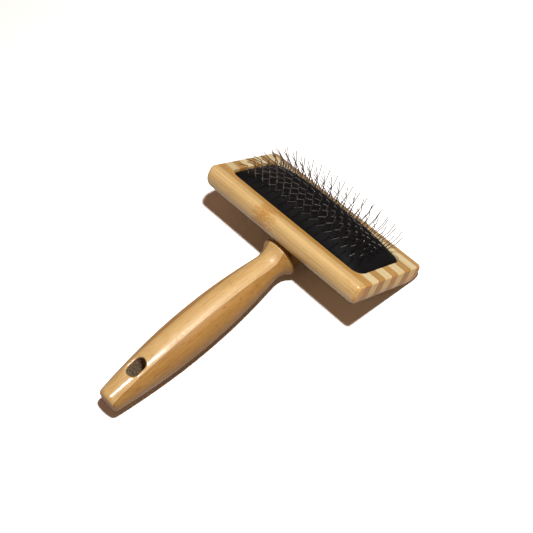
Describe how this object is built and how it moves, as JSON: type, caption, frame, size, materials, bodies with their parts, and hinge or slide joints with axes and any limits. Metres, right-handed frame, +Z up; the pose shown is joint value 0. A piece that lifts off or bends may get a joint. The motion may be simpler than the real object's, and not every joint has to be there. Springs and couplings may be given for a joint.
{
  "type": "slicker brush",
  "caption": "Pet slicker brush: laminated bamboo head with a domed rubber pad of bent wire pins on an angled turned bamboo handle.",
  "frame": {"origin": "on the resting plane, under the centre of the brush's bounding box, as the brush lies pins up on a table", "axes": "+Z up from the table, +Y from the handle's butt towards the head, +X along the head"},
  "size_m": [0.117, 0.1778, 0.0485],
  "materials": {
    "bamboo_light": "clear gloss lacquer over natural bamboo",
    "bamboo_dark": "clear gloss lacquer over caramelised bamboo",
    "pad_rubber": "matt black",
    "backing_cloth": "plain woven",
    "foam": "open-cell foam",
    "pin_steel": "drawn wire",
    "screw_steel": "zinc plated"
  },
  "bodies": {
    "head_and_handle": {"head_lamina_01": "bamboo_light", "head_lamina_02": "bamboo_dark", "head_lamina_03": "bamboo_light", "head_lamina_04": "bamboo_dark", "head_lamina_05": "bamboo_light", "head_lamina_06": "bamboo_dark", "head_lamina_07": "bamboo_light", "head_lamina_08": "bamboo_dark", "head_lamina_09": "bamboo_light", "head_lamina_10": "bamboo_dark", "handle_core_ply": "bamboo_light", "handle_left_ply": "bamboo_dark", "handle_right_ply": "bamboo_dark", "handle_screws": "screw_steel", "foam_cushion": "foam"},
    "pin_pad": {"cushion_pad": "pad_rubber", "pad_backing_cloth": "backing_cloth", "pin_row_01": "pin_steel", "pin_row_02": "pin_steel", "pin_row_03": "pin_steel", "pin_row_04": "pin_steel", "pin_row_05": "pin_steel", "pin_row_06": "pin_steel", "pin_row_07": "pin_steel", "pin_row_08": "pin_steel", "pin_row_09": "pin_steel", "pin_row_10": "pin_steel", "pin_row_11": "pin_steel", "pin_row_12": "pin_steel", "pin_row_13": "pin_steel"}
  },
  "joints": [
    {"name": "cushion_press", "type": "slide", "parent": "head_and_handle", "child": "pin_pad", "axis": [0, -0.5446, -0.8387], "range_m": [0, 0.003], "stiffness_N_per_m": 4000, "deforming": ["foam_cushion"]}
  ]
}
